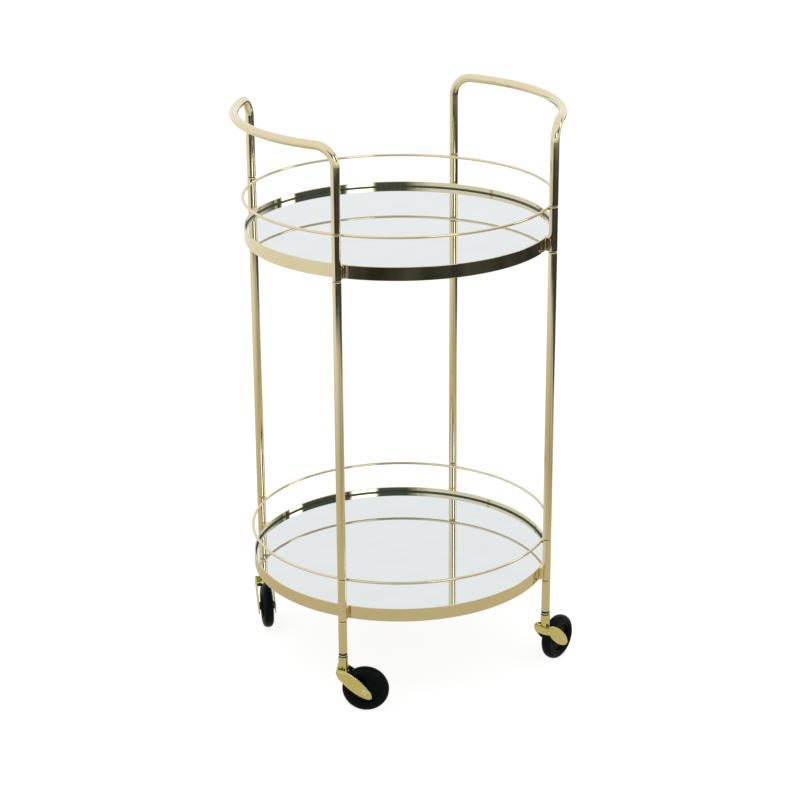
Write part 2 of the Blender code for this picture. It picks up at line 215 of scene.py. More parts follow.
class Nodes:
    """Short ways to add and link the nodes of a tree."""

    def __init__(self, tree, place):
        self.tree = tree
        self.place = self.add("ShaderNodeTexCoord").outputs[place]

    def add(self, kind, **settings):
        node = self.tree.nodes.new(kind)
        for key, value in settings.items():
            setattr(node, key, value)
        return node

    def link(self, source, target):
        self.tree.links.new(source, target)

    def split(self, vector):
        node = self.add("ShaderNodeSeparateXYZ")
        self.link(vector, node.inputs["Vector"])
        return node.outputs["X"], node.outputs["Y"], node.outputs["Z"]

    def noise(self, scale, detail=3.0, stretch=(1.0, 1.0, 1.0)):
        mapping = self.add("ShaderNodeMapping")
        mapping.inputs["Scale"].default_value = stretch
        self.link(self.place, mapping.inputs["Vector"])
        noise = self.add("ShaderNodeTexNoise")
        noise.inputs["Scale"].default_value = scale
        noise.inputs["Detail"].default_value = detail
        self.link(mapping.outputs["Vector"], noise.inputs["Vector"])
        return noise.outputs["Fac"]

    def mapped(self, source, low, high, start=0.3, stop=0.7):
        """Low to high as the source goes from start to stop."""
        node = self.add("ShaderNodeMapRange")
        node.inputs["From Min"].default_value = start
        node.inputs["From Max"].default_value = stop
        node.inputs["To Min"].default_value = low
        node.inputs["To Max"].default_value = high
        self.link(source, node.inputs["Value"])
        return node.outputs["Result"]

    def blended(self, factor, first, second):
        """A blend of two colours, each of them a socket or three numbers."""
        node = self.add("ShaderNodeMix", data_type="RGBA")
        self.link(factor, node.inputs["Factor"])
        for side, colour in (("A", first), ("B", second)):
            if isinstance(colour, tuple):
                node.inputs[side].default_value = (*colour, 1.0)
            else:
                self.link(colour, node.inputs[side])
        return node.outputs["Result"]

    def math(self, operation, first, second=0.0, clamp=False):
        node = self.add("ShaderNodeMath", operation=operation, use_clamp=clamp)
        for index, value in enumerate((first, second)):
            if isinstance(value, (int, float)):
                node.inputs[index].default_value = value
            else:
                self.link(value, node.inputs[index])
        return node.outputs["Value"]

    def product(self, first, *others):
        for other in others:
            first = self.math("MULTIPLY", first, other)
        return first


class Finish(Nodes):
    """The nodes of one new material."""

    def __init__(self, name):
        self.material = bpy.data.materials.new(name)
        self.material.use_nodes = True
        super().__init__(self.material.node_tree, "Object")
        self.shader = self.tree.nodes["Principled BSDF"]

    def edges(self, low=0.51, high=0.60):
        """1 on outer edges and 0 on flats and in corners."""
        point = self.add("ShaderNodeNewGeometry").outputs["Pointiness"]
        return self.mapped(point, 0.0, 1.0, low, high)

    def bump(self, height, strength, distance):
        node = self.add("ShaderNodeBump")
        node.inputs["Strength"].default_value = strength
        node.inputs["Distance"].default_value = distance
        self.link(height, node.inputs["Height"])
        self.link(node.outputs["Normal"], self.shader.inputs["Normal"])

    def shine(self, surface):
        """Uses a shader other than the principled one."""
        self.link(surface, self.tree.nodes["Material Output"].inputs["Surface"])


def plated_gold(name, base, deep, rough_low, rough_high, ripple, grain=(1.0, 1.0, 1.0)):
    """Polished gold plating: slow tone changes, a fine haze, rubbed edges and a faint ripple."""
    n = Finish(name)
    n.shader.inputs["Metallic"].default_value = 1.0
    tone = n.noise(9.0, 2.0)
    worn = n.edges()
    shade = n.math("ADD", n.mapped(tone, 0.0, 0.8), n.math("MULTIPLY", worn, -0.5), clamp=True)
    n.link(n.blended(shade, base, deep), n.shader.inputs["Base Color"])
    haze = n.mapped(n.noise(160.0, 4.0, grain), rough_low, rough_high)
    n.link(n.math("ADD", haze, n.math("MULTIPLY", worn, 0.05)), n.shader.inputs["Roughness"])
    n.bump(n.noise(55.0, 2.0, grain), ripple, 0.0005)
    return n.material


def silvered_mirror():
    """A silvered mirror face with a trace of dust and wiping marks."""
    n = Finish("silvered_mirror")
    n.shader.inputs["Metallic"].default_value = 1.0
    wipe = n.noise(14.0, 3.0, (1.0, 2.5, 1.0))
    n.link(n.blended(n.mapped(wipe, 0.0, 1.0), (0.762, 0.798, 0.805), (0.738, 0.776, 0.783)),
           n.shader.inputs["Base Color"])
    n.shader.inputs["Roughness"].default_value = 0.0
    return n.material


def glass_edge():
    """The mirror's ground edge, seen dark green."""
    n = Finish("glass_edge")
    frost = n.noise(240.0, 4.0)
    n.link(n.blended(n.mapped(frost, 0.0, 1.0), (0.014, 0.040, 0.024), (0.028, 0.064, 0.042)),
           n.shader.inputs["Base Color"])
    n.link(n.mapped(frost, 0.12, 0.30), n.shader.inputs["Roughness"])
    n.shader.inputs["Specular IOR Level"].default_value = 0.30
    n.bump(frost, 0.15, 0.0002)
    return n.material


def black_moulding(name, base, dusty, rough_low, rough_high, grain_scale, grain_depth):
    """Black rubber or plastic: fine grain, patchy sheen and rubbed edges."""
    n = Finish(name)
    patches = n.noise(26.0, 4.0)
    worn = n.edges(0.50, 0.58)
    shade = n.math("ADD", n.mapped(patches, 0.0, 0.5), n.math("MULTIPLY", worn, 0.5), clamp=True)
    n.link(n.blended(shade, base, dusty), n.shader.inputs["Base Color"])
    n.link(n.mapped(n.noise(70.0, 3.0), rough_low, rough_high), n.shader.inputs["Roughness"])
    n.shader.inputs["Specular IOR Level"].default_value = 0.06
    n.bump(n.noise(grain_scale, 5.0), grain_depth, 0.0002)
    return n.material


def bright_metal(name, base, stained, rough_low, rough_high):
    """Chrome or zinc plating with light tarnish. The studs take it with painted shade: their colours are near
    black so that the seam gaps read dark.
    """
    n = Finish(name)
    n.shader.inputs["Metallic"].default_value = 1.0
    stain = n.noise(120.0, 4.0)
    n.link(n.blended(n.mapped(stain, 0.0, 1.0), base, stained), n.shader.inputs["Base Color"])
    n.link(n.mapped(n.noise(300.0, 3.0), rough_low, rough_high), n.shader.inputs["Roughness"])
    n.bump(stain, 0.05, 0.0002)
    return n.material


TUBE_GOLD = plated_gold("tube_gold", (0.760, 0.680, 0.470), (0.715, 0.630, 0.420), 0.04, 0.09, 0.015)
BAND_GOLD = plated_gold("band_gold", (0.760, 0.685, 0.475), (0.720, 0.640, 0.430), 0.02, 0.05, 0.035,
                        (1.0, 1.0, 0.15))
CASTER_GOLD = plated_gold("caster_gold", (0.750, 0.720, 0.330), (0.680, 0.640, 0.260), 0.08, 0.18, 0.05)
AXLE_GOLD = plated_gold("axle_gold", (0.830, 0.800, 0.560), (0.760, 0.730, 0.480), 0.20, 0.30, 0.04)
FLOOR_GOLD = plated_gold("tray_floor_gold", (0.600, 0.530, 0.360), (0.520, 0.450, 0.290), 0.28, 0.40, 0.06)
WELD_GOLD = plated_gold("weld_gold", (0.640, 0.500, 0.270), (0.440, 0.300, 0.140), 0.14, 0.26, 0.15)
MIRROR = silvered_mirror()
GLASS_EDGE = glass_edge()
TYRE_RUBBER = black_moulding("tyre_rubber", (0.0016, 0.0028, 0.0031), (0.005, 0.007, 0.008), 0.22, 0.36,
                             900.0, 0.10)
WHEEL_PLASTIC = black_moulding("wheel_plastic", (0.0016, 0.0027, 0.0030), (0.005, 0.007, 0.008), 0.18, 0.30,
                               600.0, 0.08)
WASHER_PLASTIC = black_moulding("washer_plastic", (0.004, 0.005, 0.006), (0.012, 0.013, 0.014), 0.30, 0.45,
                                700.0, 0.10)
CHROME = bright_metal("ring_chrome", (0.72, 0.74, 0.77), (0.62, 0.64, 0.67), 0.05, 0.12)
# The studs' steel is painted near black: painted shade, so that the gap at each seam reads as a dark line.
STUD_STEEL_PAINTED_SHADE = bright_metal("stud_steel_painted_shade", (0.12, 0.11, 0.09), (0.06, 0.055, 0.05), 0.40, 0.60)
STEM_STEEL = bright_metal("stem_steel", (0.46, 0.47, 0.48), (0.34, 0.34, 0.35), 0.22, 0.38)


# Trays

def leg_centre(corner):
    """The axis of the leg at a corner, at floor level."""
    spot = JOINTS[f"{corner}_swivel"]["pos_m"]
    return Vector((spot[0], spot[1], 0.0))


def leg_azimuth(corner):
    spot = leg_centre(corner)
    return atan2(spot.y, spot.x)


def about_z(angle):
    return Matrix.Rotation(angle, 4, "Z")


LEG_CIRCLE = leg_centre("front_left").length


def lug_outline():
    """Plan of a lug with +X outwards, hollowed to sit round the post."""
    half = LUG_WIDTH / 2
    seat = TUBE_RADIUS - 0.0001
    edge = half - 0.0002
    swing = atan2(edge, sqrt(seat ** 2 - edge ** 2))
    arc_steps = 10
    hollow = []
    for index in range(arc_steps + 1):
        angle = pi + swing - 2 * swing * index / arc_steps
        hollow.append((LEG_CIRCLE + seat * cos(angle), seat * sin(angle)))
    root = TRAY_RADIUS - 0.001
    return [(root, -half)] + hollow + [(root, half)]


def make_band(tray):
    """The flat hoop with softened edges, its four lugs and their welds."""
    node = f"{tray}_tray_band"
    low, high = heights(node)
    inner = TRAY_RADIUS - BAND_THICKNESS
    section = rounded([(inner, low), (TRAY_RADIUS, low), (TRAY_RADIUS, high), (inner, high)], 0.0007)
    hoop = mesh_object(f"{tray}_tray_hoop", turned(section, HOOP_STEPS), BAND_GOLD)
    fit(hoop, FRAME_BODY, "gold_band", node)
    for corner in CORNERS:
        turn = about_z(leg_azimuth(corner))
        lug = bevelled_prism(lug_outline(), low + 0.0004, high - 0.0004, 0.0005, turn)
        piece = mesh_object(f"{tray}_band_lug_{corner}", lug, BAND_GOLD)
        fit(piece, FRAME_BODY, "gold_band", node)
        beads = []
        for side in (-1, 1):
            across = side * (LUG_WIDTH / 2 - 0.0002)
            for out in (TRAY_RADIUS + 0.0001, LEG_CIRCLE - 0.0021):
                beads.append(weld_bead(turn @ Vector((out, across, low + 0.0012)),
                                       turn @ Vector((out, across, high - 0.0012)), WELD_RADIUS))
        welds = mesh_object(f"{tray}_lug_welds_{corner}", join(beads), WELD_GOLD)
        fit(welds, FRAME_BODY, "gold_band")


def make_mirror(tray):
    """A mirror plate: its silver face lies a little below the dark ground edge."""
    node = f"{tray}_tray_mirror"
    low, top = heights(node)
    radius = TRAY_RADIUS - BAND_THICKNESS - 0.0003
    face_radius = radius - GLASS_EDGE_WIDTH
    face = top - GLASS_EDGE_HEIGHT
    corners = [(0.0, face), (face_radius, face), (face_radius + 0.0002, top), (radius, top), (radius, low),
               (0.0, low)]
    profile = rounded(corners, [0, 0, 0.0002, 0.0004, 0.0004, 0], 3, closed=False)
    plate = mesh_object(f"{tray}_mirror_plate", turned(profile, HOOP_STEPS, closed=False), MIRROR)
    plate.data.materials.append(GLASS_EDGE)
    for polygon in plate.data.polygons:
        middle = polygon.center
        if polygon.normal.z < 0.9 or Vector((middle.x, middle.y)).length > face_radius:
            polygon.material_index = 1
    fit(plate, FRAME_BODY, "mirror", node)


def make_floor(tray):
    """The sheet under the mirror, with a turned-down rim that the hoop is welded to."""
    node = f"{tray}_tray_floor"
    low, high = heights(node)
    radius = TRAY_RADIUS - BAND_THICKNESS - 0.0001
    inner = radius - 0.0012
    corners = [(0.0, high), (radius, high), (radius, low - FLOOR_LIP), (inner, low - FLOOR_LIP), (inner, low),
               (0.0, low)]
    profile = rounded(corners, [0, 0.0010, 0.0004, 0.0004, 0.0008, 0], 4, closed=False)
    sheet = mesh_object(f"{tray}_floor_sheet", turned(profile, HOOP_STEPS, closed=False), FLOOR_GOLD)
    fit(sheet, FRAME_BODY, "tray_floor", node)


def make_rail(tray):
    """The wire hoop, and the short welds that hold it to the posts."""
    node = f"{tray}_gallery_rail"
    low, high = heights(node)
    height = (low + high) / 2
    centre = RAIL_OUTER - WIRE_RADIUS
    sides = 16
    turns = [2 * pi * index / sides for index in range(sides)]
    section = [(centre + WIRE_RADIUS * cos(a), height + WIRE_RADIUS * sin(a)) for a in turns]
    wire = mesh_object(f"{tray}_rail_wire", turned(section, HOOP_STEPS), TUBE_GOLD)
    fit(wire, FRAME_BODY, "gold_tube", node)
    beads = []
    for corner in CORNERS:
        turn = about_z(leg_azimuth(corner))
        out = RAIL_OUTER + 0.0002
        for level in (-0.0012, 0.0012):
            beads.append(weld_bead(turn @ Vector((out, -0.0038, height + level)),
                                   turn @ Vector((out, 0.0038, height + level)), RAIL_WELD_RADIUS))
    fit(mesh_object(f"{tray}_rail_welds", join(beads), WELD_GOLD), FRAME_BODY, "gold_tube")


# Legs and handles

def tube_ends(low, high):
    """Rings of a straight tube with rounded ends, as (height, outer radius)."""
    steps = 5
    turns = [(pi / 2) * index / steps for index in range(steps + 1)]
    up = [(low + SEAM_ROUND * (1 - cos(a)), TUBE_RADIUS - SEAM_ROUND * (1 - sin(a))) for a in turns]
    return up + [(low + high - height, size) for height, size in reversed(up)]


def make_tube(node, corner):
    """A straight length of leg, open inside, with the screw stud that shows in the seam above it."""
    bottom, stud_top = heights(node)
    low = bottom + SEAM_GAP
    top = stud_top - STUD_REACH - SEAM_GAP
    inner = TUBE_RADIUS - TUBE_WALL
    outside = [(size, height) for height, size in tube_ends(low, top)]
    section = [(inner, low)] + outside + [(inner, top)]
    spot = Matrix.Translation(leg_centre(corner))
    tube = mesh_object(f"{node}_tube", turned(section, TUBE_STEPS, matrix=spot), TUBE_GOLD, 50.0)
    fit(tube, FRAME_BODY, "gold_tube", node)
    corners = [(0.0, top - 0.004), (inner - 0.0002, top - 0.004), (inner - 0.0002, top - 0.0004),
               (STUD_RADIUS, top - 0.0004), (STUD_RADIUS, stud_top), (0.0, stud_top)]
    stud = rounded(corners, [0, 0, 0.0003, 0, 0.0006, 0], 3, closed=False)
    screw = mesh_object(f"{node}_stud", turned(stud, 20, closed=False, matrix=spot), STUD_STEEL_PAINTED_SHADE)
    fit(screw, FRAME_BODY, "gold_tube")


def handle_path():
    """Centre line of a handle above its straight ends: (way round the leg circle, height, lean)."""
    level = HANDLE_TOP - TUBE_RADIUS
    whole = LEG_CIRCLE * pi / 2
    bend_steps, run_steps = 18, 40
    leans = [(pi / 2) * index / bend_steps for index in range(bend_steps + 1)]
    bend = [(HANDLE_BEND * (1 - cos(a)), level - HANDLE_BEND * (1 - sin(a)), a) for a in leans]
    run = whole - 2 * HANDLE_BEND
    middle = [(HANDLE_BEND + run * index / run_steps, level, pi / 2) for index in range(1, run_steps)]
    back = [(whole - along, height, pi - lean) for along, height, lean in reversed(bend)]
    return bend + middle + back


def make_handle(node, first_corner):
    """The bent tube, following the leg circle."""
    low = heights(node)[0] + SEAM_GAP
    whole = LEG_CIRCLE * pi / 2
    straight = HANDLE_TOP - TUBE_RADIUS - HANDLE_BEND - low
    ends = tube_ends(low, HANDLE_TOP)
    ends = ends[:len(ends) // 2] + [(low + straight * share, TUBE_RADIUS) for share in (0.3, 0.6, 0.9)]
    path = [(0.0, height, 0.0, size) for height, size in ends]
    path += [station + (TUBE_RADIUS,) for station in handle_path()]
    path += [(whole, height, pi, size) for height, size in reversed(ends)]
    rings = []
    for along, height, lean, size in path:
        azimuth = leg_azimuth(first_corner) + along / LEG_CIRCLE
        outward = Vector((cos(azimuth), sin(azimuth), 0.0))
        onward = Vector((-sin(azimuth), cos(azimuth), 0.0))
        side = cos(lean) * onward - sin(lean) * Vector((0.0, 0.0, 1.0))
        centre = outward * LEG_CIRCLE + Vector((0.0, 0.0, height))
        turns = [2 * pi * index / TUBE_STEPS for index in range(TUBE_STEPS)]
        rings.append([centre + size * (cos(a) * outward + sin(a) * side) for a in turns])
    tube = mesh_object(f"{node}_bent", loft(rings), TUBE_GOLD, 50.0)
    fit(tube, FRAME_BODY, "gold_tube", node)


# Casters

WHEEL_CENTRE = Vector(JOINTS["front_left_roll"]["pos_m"])
TRAIL = (WHEEL_CENTRE - leg_centre("front_left")).to_2d().length
WHEEL_RADIUS = WHEEL_CENTRE.z
WHEEL_HALF_WIDTH = 0.008
CORE_RADIUS = 0.0245
AXLE_RADIUS = 0.003
FORK_HALF_WIDTH = 0.0143
CHEEK_THICKNESS = 0.002
HUB_RADIUS = 0.0070
RING_BORE = 0.0034              # bore of the hub, the washers and the bearing ring
WEB_LOW, WEB_HIGH = 0.0595, 0.062
LEAF_CENTRE = (0.0165, 0.0455)
LEAF_HALF_LENGTH = 0.0335
LEAF_HALF_WIDTH = 0.0103
LEAF_TILT = radians(41.0)
WRAP_THICKNESS = 0.0018


def caster_matrix(corner):
    """From a caster's own frame, +X along its trail and the leg axis as Z, to the world."""
    foot = leg_centre(corner)
    axle = Vector(JOINTS[f"{corner}_roll"]["pos_m"])
    trail = axle - foot
    return Matrix.Translation(foot) @ about_z(atan2(trail.y, trail.x))


def wheel_matrix(corner):
    """From a turned piece's frame, with Z as the axle, to the world."""
    to_axle = Matrix.Translation((TRAIL, 0.0, WHEEL_RADIUS))
    return caster_matrix(corner) @ to_axle @ Matrix.Rotation(pi / 2, 4, "X")


def leaf_point(angle, inset=0.0):
    """A point of the cheek's leaf outline, as (back, up). Angle 0 is the low tip and pi the high tip."""
    along = (LEAF_HALF_LENGTH - inset) * cos(angle)
    across = (LEAF_HALF_WIDTH - inset) * sin(angle)
    back = LEAF_CENTRE[0] + along * cos(LEAF_TILT) + across * sin(LEAF_TILT)
    up = LEAF_CENTRE[1] - along * sin(LEAF_TILT) + across * cos(LEAF_TILT)
    return back, up


def make_cheek(corner, side, label):
    """A leaf plate with a rolled rim and a slightly domed outer face."""
    steps = 72
    # Each layer is how far out across the fork it lies, and how far in from the leaf's edge
    inner = FORK_HALF_WIDTH - CHEEK_THICKNESS
    rim = inner + 0.0011
    rise = FORK_HALF_WIDTH - rim
    layers = [(inner, 0.0006), (inner + 0.00012, 0.0002), (inner + 0.0005, 0.0), (rim - 0.0007, 0.0),
              (rim - 0.00035, 0.00015), (rim - 0.00005, 0.0005), (rim + 0.00015, 0.0010),
              (rim + 0.0002, 0.0015), (rim + 0.0001, 0.0020), (rim - 0.0001, 0.0024)]
    rim_end, crown = 0.0024, 0.0094
    for inset in (0.0030, 0.0040, 0.0052, 0.0066, 0.0080, crown):
        share = (inset - rim_end) / (crown - rim_end)
        layers.append((rim - 0.0001 + (rise + 0.0001) * share * (2 - share), inset))
    rings = []
    for reach, inset in layers:
        angles = [2 * pi * index / steps for index in range(steps)]
        points = [leaf_point(angle, inset) for angle in angles]
        rings.append([Vector((back, side * reach, up)) for back, up in points])
    bm = loft(rings)
    bmesh.ops.transform(bm, matrix=caster_matrix(corner), verts=bm.verts)
    piece = mesh_object(f"{corner}_fork_cheek_{label}", bm, CASTER_GOLD)
    fit(piece, f"{corner}_caster", "gold_caster", f"{corner}_caster_fork")


def upright_prism(outline, reach, bevel, corner):
    """An outline given as (back, up), extruded across the fork."""
    turn = caster_matrix(corner) @ Matrix.Rotation(-pi / 2, 4, "X")
    return bevelled_prism([(back, -up) for back, up in outline], -reach, reach, bevel, turn)


def make_wrap(corner):
    """The strip that closes the fork's front, along the cheeks' edge."""
    start, stop, steps = radians(172.0), radians(235.0), 20
    angles = [start + (stop - start) * index / steps for index in range(steps + 1)]
    outer = [leaf_point(angle, 0.0001) for angle in angles]
    inner = [leaf_point(angle, WRAP_THICKNESS) for angle in reversed(angles)]
    bm = upright_prism(outer + inner, FORK_HALF_WIDTH - 0.0004, 0.0003, corner)
    piece = mesh_object(f"{corner}_fork_wrap", bm, CASTER_GOLD)
    fit(piece, f"{corner}_caster", "gold_caster", f"{corner}_caster_fork")


def make_web(corner):
    """The plate under the hub that ties it to the cheeks."""
    front, back = -0.0073, 0.0062
    outline = rounded([(front, WEB_LOW), (back, WEB_LOW), (back, WEB_HIGH), (front, WEB_HIGH)], 0.0006, 3)
    bm = upright_prism(outline, FORK_HALF_WIDTH - CHEEK_THICKNESS + 0.0002, 0.0001, corner)
    piece = mesh_object(f"{corner}_fork_web", bm, CASTER_GOLD)
    fit(piece, f"{corner}_caster", "gold_caster", f"{corner}_caster_fork")


def make_hub(corner):
    """The upright hub, with a rolled lip at its top and a weld flare at its foot."""
    node = f"{corner}_caster_fork"
    top = heights(node)[1]
    corners = [(RING_BORE, WEB_HIGH - 0.001), (HUB_RADIUS + 0.0016, WEB_HIGH - 0.001),
               (HUB_RADIUS + 0.0012, WEB_HIGH + 0.0003), (HUB_RADIUS + 0.0003, WEB_HIGH + 0.0018),
               (HUB_RADIUS, WEB_HIGH + 0.0045), (HUB_RADIUS, top - 0.0012), (HUB_RADIUS - 0.0002, top),
               (RING_BORE, top)]
    profile = rounded(corners, [0, 0.0002, 0.0006, 0.0012, 0.002, 0.0006, 0.0004, 0.0004], 4)
    hub = turned(profile, RING_STEPS, matrix=caster_matrix(corner))
    piece = mesh_object(f"{corner}_fork_hub", hub, CASTER_GOLD)
    fit(piece, f"{corner}_caster", "gold_caster", node)


def make_axle(corner):
    """The axle, riveted over at both cheeks, with the punch's dimple in each end."""
    reach = FORK_HALF_WIDTH + 0.0002
    head = AXLE_RADIUS + 0.0013
    near = [(0.0, -reach + 0.0005), (0.0013, -reach + 0.0003), (0.0020, -reach), (0.0030, -reach),
            (head, -reach + 0.0006), (head, -reach + 0.0011), (AXLE_RADIUS - 0.0001, -reach + 0.0013)]
    far = [(radius, -height) for radius, height in reversed(near)]
    softness = [0, 0.0004, 0.0003, 0.0004, 0.0002, 0.0001, 0]
    profile = rounded(near + far, softness + softness[::-1], 3, closed=False)
    pin = turned(profile, 32, closed=False, matrix=wheel_matrix(corner))
    piece = mesh_object(f"{corner}_axle_pin", pin, AXLE_GOLD)
    fit(piece, f"{corner}_caster", "gold_caster", f"{corner}_wheel_axle")


def both_sides(right):
    """A wheel section from its right half, as (radius, offset) corners."""
    return right + [(radius, -offset) for radius, offset in reversed(right)]


def make_tyre(corner):
    """The tyre: crowned tread, round shoulders and a moulded ring on each side."""
    node = f"{corner}_wheel_tyre"
    half = WHEEL_HALF_WIDTH
    seat = CORE_RADIUS + 0.0001
    right = [(seat, half - 0.0014), (seat + 0.0012, half - 0.0003), (seat + 0.0030, half),
             (seat + 0.0036, half - 0.0006), (seat + 0.0044, half - 0.0006), (seat + 0.0050, half - 0.0001),
             (WHEEL_RADIUS - 0.0040, half - 0.0005), (WHEEL_RADIUS - 0.0012, half - 0.0027),
             (WHEEL_RADIUS, half - 0.0060)]
    profile = rounded(both_sides(right), 0.0012, 4)
    ring = turned(profile, WHEEL_STEPS, matrix=wheel_matrix(corner))
    piece = mesh_object(f"{corner}_tyre_ring", ring, TYRE_RUBBER, 45.0)
    fit(piece, f"{corner}_wheel", "tyre", node)


def make_core(corner):
    """The wheel core: boss, thin disc with two raised rings, and the rim."""
    node = f"{corner}_wheel_core"
    bore = AXLE_RADIUS + 0.0001
    boss = FORK_HALF_WIDTH - CHEEK_THICKNESS - 0.0005
    right = [(bore, boss), (0.0062, boss), (0.0070, 0.0046), (0.0105, 0.0040), (0.0110, 0.0030),
             (0.0148, 0.0028), (0.0152, 0.0036), (0.0162, 0.0036), (0.0166, 0.0028), (0.0203, 0.0028),
             (0.0214, 0.0062), (0.0226, 0.0066), (CORE_RADIUS - 0.0001, 0.0062)]
    profile = rounded(both_sides(right), 0.0005, 3)
    disc = turned(profile, WHEEL_STEPS, matrix=wheel_matrix(corner))
    piece = mesh_object(f"{corner}_core_disc", disc, WHEEL_PLASTIC)
    fit(piece, f"{corner}_wheel", "black_plastic", node)


def make_ring(corner, kind, slot, material):
    """A washer or the bearing ring between leg and hub."""
    node = f"{corner}_caster_{kind}"
    low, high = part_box(node)
    outer = (high[0] - low[0]) / 2
    corners = [(RING_BORE, low[2]), (outer, low[2]), (outer, high[2]), (RING_BORE, high[2])]
    ring = turned(rounded(corners, 0.0005, 4), RING_STEPS, matrix=Matrix.Translation(leg_centre(corner)))
    piece = mesh_object(f"{corner}_{kind}", ring, material)
    fit(piece, FRAME_BODY, slot, node)


def make_stem(corner):
    """The stem, with the riveted head under the web."""
    node = f"{corner}_caster_stem"
    low, high = heights(node)
    head = 0.0045
    head_top = WEB_LOW - 0.0003
    corners = [(0.0, low), (0.0025, low), (head, head_top - 0.0007), (head, head_top),
               (STUD_RADIUS, head_top), (STUD_RADIUS, high), (0.0, high)]
    profile = rounded(corners, [0, 0.0015, 0.0003, 0.0002, 0, 0.0004, 0], 3, closed=False)
    spot = Matrix.Translation(leg_centre(corner))
    piece = mesh_object(f"{corner}_stem_pin", turned(profile, 24, closed=False, matrix=spot), STEM_STEEL)
    fit(piece, FRAME_BODY, "steel", node)


def make_caster(corner):
    make_hub(corner)
    make_web(corner)
    make_wrap(corner)
    make_cheek(corner, 1, "left")
    make_cheek(corner, -1, "right")
    make_axle(corner)
    make_tyre(corner)
    make_core(corner)
    make_stem(corner)
    make_ring(corner, "lower_washer", "black_plastic", WASHER_PLASTIC)
    make_ring(corner, "upper_washer", "black_plastic", WASHER_PLASTIC)
    make_ring(corner, "bearing_ring", "chrome_ring", CHROME)


# Studio

CAMERA_TURN = radians(-23.7)      # the camera's side of the cart, round from the front towards the left
CAMERA_DISTANCE = 3.0             # level distance from the cart's middle
CAMERA_HEIGHT = 1.541
CAMERA_PITCH = radians(20.8)
CAMERA_ROLL = radians(-0.35)
CAMERA_LENS = 96.2
AIM_HEIGHT = 0.5                  # where cards and lights point, on the cart's axis
CARD_DISTANCE = 3.4
CARD_LIFT = 22.0
CARD_HEIGHT = 1.1
CARD_STRENGTH = 3.2
LIGHT_DISTANCE = 3.5
LIGHT_SIZE = 2.5

# How bright the metal sees the floor, round from the camera's side to the right: (degrees, share of full)
FLOOR_STREAKS = ((-60.0, 1.0), (0.0, 0.78), (16.0, 0.60), (28.0, 0.55), (46.0, 0.74), (68.0, 0.76),
                 (82.0, 0.48), (92.0, 0.50), (104.0, 0.72), (130.0, 1.0))


def studio_point(right, away, up):
    """A point given as seen from the camera's side of the cart."""
    return about_z(CAMERA_TURN) @ Vector((right, away, up))


def make_camera():
    data = bpy.data.cameras.new("camera")
    data.lens = CAMERA_LENS
    data.sensor_width = 36.0
    data.clip_end = 200.0
    camera = bpy.data.objects.new("camera", data)
    aim = about_z(CAMERA_TURN) @ Matrix.Rotation(pi / 2 - CAMERA_PITCH, 4, "X") @ about_z(CAMERA_ROLL)
    camera.matrix_world = Matrix.Translation(studio_point(0.0, -CAMERA_DISTANCE, CAMERA_HEIGHT)) @ aim
    bpy.context.collection.objects.link(camera)
    bpy.context.scene.camera = camera


def only_in_reflections(item):
    """Hides a studio card from the camera and from everything but polished surfaces."""
    item.visible_camera = False
    item.visible_diffuse = False
    item.visible_transmission = False
    item.visible_shadow = False


def make_floor_plane():
    """A very large pale floor."""
    bm = bmesh.new()
    bmesh.ops.create_circle(bm, cap_ends=True, segments=96, radius=60.0)
    n = Finish("studio_floor")
    n.link(n.blended(n.mapped(n.noise(0.7, 2.0), 0.0, 1.0), (0.16, 0.16, 0.16), (0.15, 0.15, 0.15)),
           n.shader.inputs["Base Color"])
    n.shader.inputs["Roughness"].default_value = 0.9
    n.shader.inputs["Specular IOR Level"].default_value = 0.0
    n.shader.inputs["Emission Color"].default_value = (1.0, 1.0, 1.0, 1.0)
    n.shader.inputs["Emission Strength"].default_value = 0.88
    floor = mesh_object("studio_floor", bm, n.material)


def camera_turn(n, right, away):
    """The angle round from the camera's side, with the right as positive."""
    return n.math("ARCTAN2", right, n.product(away, -1.0))


def floor_streaks(n, turn, reach):
    """The floor's tint: even close to the cart and streaked further out."""
    ramp = n.add("ShaderNodeValToRGB")
    n.link(n.mapped(turn, 0.0, 1.0, -pi, pi), ramp.inputs["Fac"])
    first, last = ramp.color_ramp.elements
    first.color = last.color = (1.0, 1.0, 1.0, 1.0)
    for angle, share in FLOOR_STREAKS:
        stop = ramp.color_ramp.elements.new((angle + 180.0) / 360.0)
        stop.color = (share, 0.985 * share, 0.95 * share, 1.0)
    return n.blended(n.mapped(reach, 0.0, 1.0, 0.70, 1.0), (1.0, 1.0, 1.0), ramp.outputs["Color"])


def dark_share(n, turn, reach):
    """How dark the floor is: from 1.2 to 1.8 m out and up to about 4 m, except on the left."""
    past_left = n.mapped(turn, 0.0, 1.0, radians(-40.0), radians(-35.0))
    past_rear = n.mapped(turn, 1.0, 0.0, radians(-176.0), radians(-162.0))
    round_right = n.math("ABSOLUTE", n.math("SUBTRACT", turn, radians(100.0)))
    start = n.mapped(round_right, 1.20, 1.80, radians(20.0), radians(70.0))
    edge = n.math("DIVIDE", n.math("SUBTRACT", reach, start), 0.30, clamp=True)
    end = n.mapped(reach, 1.0, 0.0, 3.2, 4.4)
    return n.product(n.math("MAXIMUM", past_left, past_rear), n.product(edge, end))


